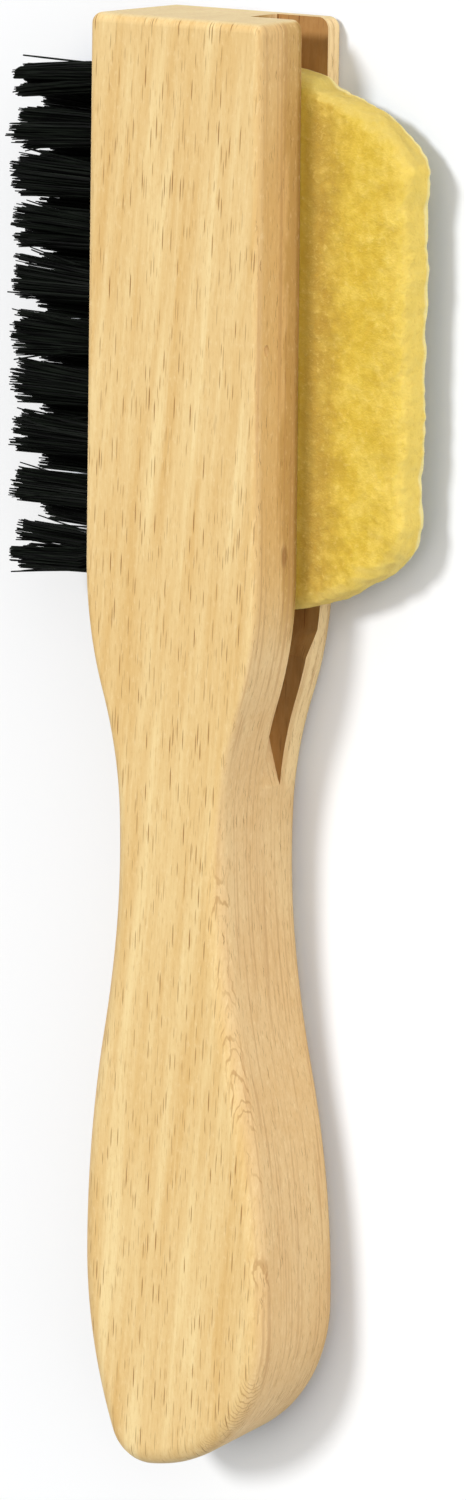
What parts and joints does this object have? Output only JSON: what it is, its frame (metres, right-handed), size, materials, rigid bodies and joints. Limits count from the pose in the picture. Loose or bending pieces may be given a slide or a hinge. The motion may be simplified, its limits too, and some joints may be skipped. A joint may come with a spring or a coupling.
{
  "type": "suede brush",
  "caption": "Hand brush with a contoured beech block, black bristle tufts along one side and a yellow crepe rubber slab in a slot along the other.",
  "frame": {"origin": "centre of the back face, at the middle of the block's length and on its centre line", "axes": "+X across the block towards the crepe slab, -X towards the bristles, +Y along the block towards its head end, +Z through its thickness, from the back face it lies on to the front face"},
  "size_m": [0.0622, 0.2, 0.018],
  "materials": {
    "beech": "sanded, thinly lacquered beech with short ray flecks",
    "crepe": "matte, finely rough natural crepe rubber",
    "bristle": "satin black synthetic bristle",
    "anchor_wire": "plain drawn steel"
  },
  "bodies": {
    "root": {"block": "beech", "crepe_slab": "crepe", "tuft_anchors": "anchor_wire", "tuft_front_01": "bristle", "tuft_front_02": "bristle", "tuft_front_03": "bristle", "tuft_front_04": "bristle", "tuft_front_05": "bristle", "tuft_front_06": "bristle", "tuft_front_07": "bristle", "tuft_front_08": "bristle", "tuft_front_09": "bristle", "tuft_front_10": "bristle", "tuft_back_01": "bristle", "tuft_back_02": "bristle", "tuft_back_03": "bristle", "tuft_back_04": "bristle", "tuft_back_05": "bristle", "tuft_back_06": "bristle", "tuft_back_07": "bristle", "tuft_back_08": "bristle", "tuft_back_09": "bristle"}
  },
  "joints": []
}
